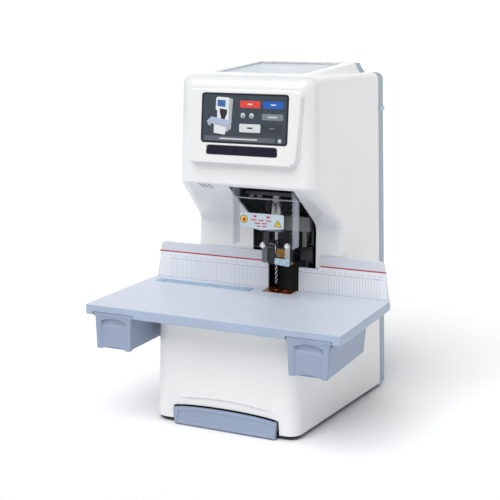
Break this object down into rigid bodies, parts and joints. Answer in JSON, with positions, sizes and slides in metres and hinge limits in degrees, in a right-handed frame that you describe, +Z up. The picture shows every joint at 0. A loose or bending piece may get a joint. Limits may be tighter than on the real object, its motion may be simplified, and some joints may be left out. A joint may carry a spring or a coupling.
{
  "type": "tube binding machine",
  "caption": "Desktop paper drilling and tube-binding machine with a work table, back fences, drill head, clear guard, touch panel, drawers and a chip tray.",
  "frame": {"origin": "on the floor under the middle of the machine", "axes": "+X to the operator's right, +Y from the operator to the back, +Z up"},
  "size_m": [0.44, 0.405, 0.5797],
  "materials": {
    "casing": "satin moulded plastic",
    "cover": "fine textured moulded plastic",
    "table": "smooth laminate",
    "drawer": "fine textured moulded plastic",
    "black": "gloss black paint",
    "rubber": "matt",
    "screen": "glossy touch glass",
    "plate": "glossy print",
    "steel": "brushed",
    "chrome": "polished",
    "grey": "satin",
    "copper": "heat-tinted copper brown",
    "brass": "machined",
    "zinc": "blue zinc plated",
    "clear": "clear acrylic",
    "symbol": "printed film",
    "nylon": "translucent nylon",
    "belt": "toothed belt rubber",
    "board": "solder resist",
    "ink_red": "printed line",
    "ink_yellow": "printed symbol"
  },
  "bodies": {
    "machine": {"anvil_plate": "copper", "base_pan": "black", "base_shell": "casing", "chip_chute": "grey", "control_board": "board", "drawer_carrier_left": "steel", "drawer_carrier_right": "steel", "fan_frame": "black", "feed_motor": "black", "fence_left": "casing", "fence_right": "casing", "foot_front_left": "rubber", "foot_front_right": "rubber", "foot_rear_left": "rubber", "foot_rear_right": "rubber", "frame_column": "black", "guard_pin": "steel", "lid_pin": "steel", "lower_arm": "black", "name_plate": "plate", "panel_bezel": "casing", "power_inlet": "black", "power_supply": "steel", "rail_left": "black", "rail_right": "black", "rear_cover": "cover", "top_plate": "grey", "touch_screen": "screen", "tray_guide": "steel", "tube_bundle": "nylon", "tube_tray": "casing", "upper_shell": "casing", "work_table": "table"},
    "lid": {"top_lid": "clear"},
    "guard": {"safety_guard": "clear", "guard_plate": "symbol"},
    "left_drawer": {"drawer_left": "drawer"},
    "right_drawer": {"drawer_right": "drawer"},
    "tray": {"chip_tray": "drawer"},
    "drill_carriage": {"carriage": "grey", "spindle_sleeve": "steel", "motor_bracket": "grey", "drill_motor": "black", "drive_belt": "belt"},
    "spindle_group": {"spindle": "steel", "spindle_pulley": "steel", "drill_bit": "chrome"},
    "motor_rotor": {"motor_pulley": "steel"},
    "screw": {"lead_screw": "steel"},
    "presser": {"presser_arm": "black", "presser_bracket": "steel", "presser_foot": "zinc", "presser_knob_left": "chrome", "presser_knob_right": "chrome", "adjust_screw": "brass"},
    "rivet_die": {"upper_die": "brass"},
    "anvil_die": {"lower_die": "chrome"},
    "fan": {"cooling_fan": "black"},
    "rocker": {"power_switch": "rubber"}
  },
  "joints": [
    {"name": "lid_hinge", "type": "hinge", "parent": "machine", "child": "lid", "pos_m": [0, 0.16181, 0.57719], "axis": [-1, 0, 0], "range_deg": [0, 95]},
    {"name": "guard_hinge", "type": "hinge", "parent": "machine", "child": "guard", "pos_m": [0, -0.036, 0.366], "axis": [-1, 0, 0], "range_deg": [0, 55]},
    {"name": "left_drawer_slide", "type": "slide", "parent": "machine", "child": "left_drawer", "axis": [0, -1, 0], "range_m": [0, 0.12]},
    {"name": "right_drawer_slide", "type": "slide", "parent": "machine", "child": "right_drawer", "axis": [0, -1, 0], "range_m": [0, 0.12]},
    {"name": "chip_tray_slide", "type": "slide", "parent": "machine", "child": "tray", "axis": [0, -1, 0], "range_m": [0, 0.15]},
    {"name": "drill_feed", "type": "slide", "parent": "machine", "child": "drill_carriage", "axis": [0, 0, -1], "range_m": [-0.038, 0.014]},
    {"name": "lead_screw_turn", "type": "hinge", "parent": "machine", "child": "screw", "pos_m": [0.038, 0.039, 0.4], "axis": [0, 0, 1], "range_deg": [-1711, 631]},
    {"name": "spindle_spin", "type": "hinge", "parent": "drill_carriage", "child": "spindle_group", "pos_m": [0.021, 0.0175, 0.3], "axis": [0, 0, -1], "continuous": true},
    {"name": "motor_spin", "type": "hinge", "parent": "drill_carriage", "child": "motor_rotor", "pos_m": [0.062, 0.0175, 0.43], "axis": [0, 0, -1], "continuous": true},
    {"name": "presser_slide", "type": "slide", "parent": "machine", "child": "presser", "axis": [0, 0, -1], "range_m": [0, 0.042], "stiffness_N_per_m": 150, "springref_m": -0.07},
    {"name": "rivet_slide", "type": "slide", "parent": "presser", "child": "rivet_die", "axis": [0, 0, -1], "range_m": [0, 0.006], "stiffness_N_per_m": 100, "springref_m": -0.015},
    {"name": "lower_die_lift", "type": "slide", "parent": "machine", "child": "anvil_die", "axis": [0, 0, 1], "range_m": [0, 0.0045]},
    {"name": "fan_spin", "type": "hinge", "parent": "machine", "child": "fan", "pos_m": [0.06, 0.188, 0.43], "axis": [0, 1, 0], "continuous": true},
    {"name": "switch_rock", "type": "hinge", "parent": "machine", "child": "rocker", "pos_m": [-0.067, 0.196, 0.06], "axis": [1, 0, 0], "range_deg": [0, 14]}
  ],
  "couplings": [
    {"joint": "lead_screw_turn", "follows": "drill_feed", "rad_per_m": 785.4},
    {"joint": "motor_spin", "follows": "spindle_spin", "ratio": 1.5}
  ]
}
